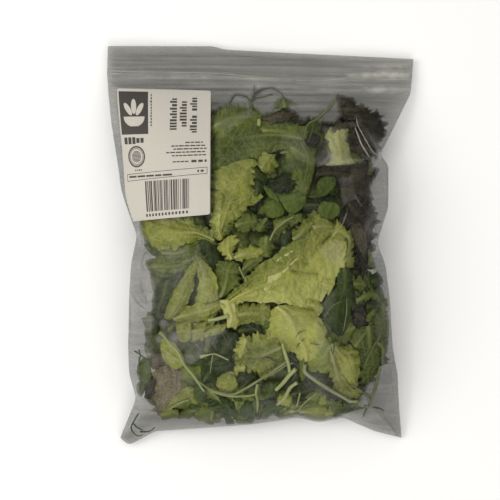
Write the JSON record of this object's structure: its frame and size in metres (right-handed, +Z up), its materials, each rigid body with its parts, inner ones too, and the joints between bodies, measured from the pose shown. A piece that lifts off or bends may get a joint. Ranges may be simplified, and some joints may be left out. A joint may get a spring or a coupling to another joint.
{
  "type": "bag of salad leaves",
  "caption": "Clear press-seal plastic bag filled with mixed green and red salad leaves, with a paper label, lying on its back.",
  "frame": {"origin": "on the table under the middle of the bag's outline", "axes": "+X to the right across the bag seen from above, +Y from its foot to its sealed mouth, +Z up from the table through the labelled front"},
  "size_m": [0.204, 0.265, 0.0585],
  "materials": {
    "film_and_leaves": "clear polythene film drawn over green salad leaves, soft gloss",
    "label_paper": "matt white label paper with dark printed bars and blocks"
  },
  "bodies": {
    "root": {"bag": "film_and_leaves", "label": "label_paper"}
  },
  "joints": []
}
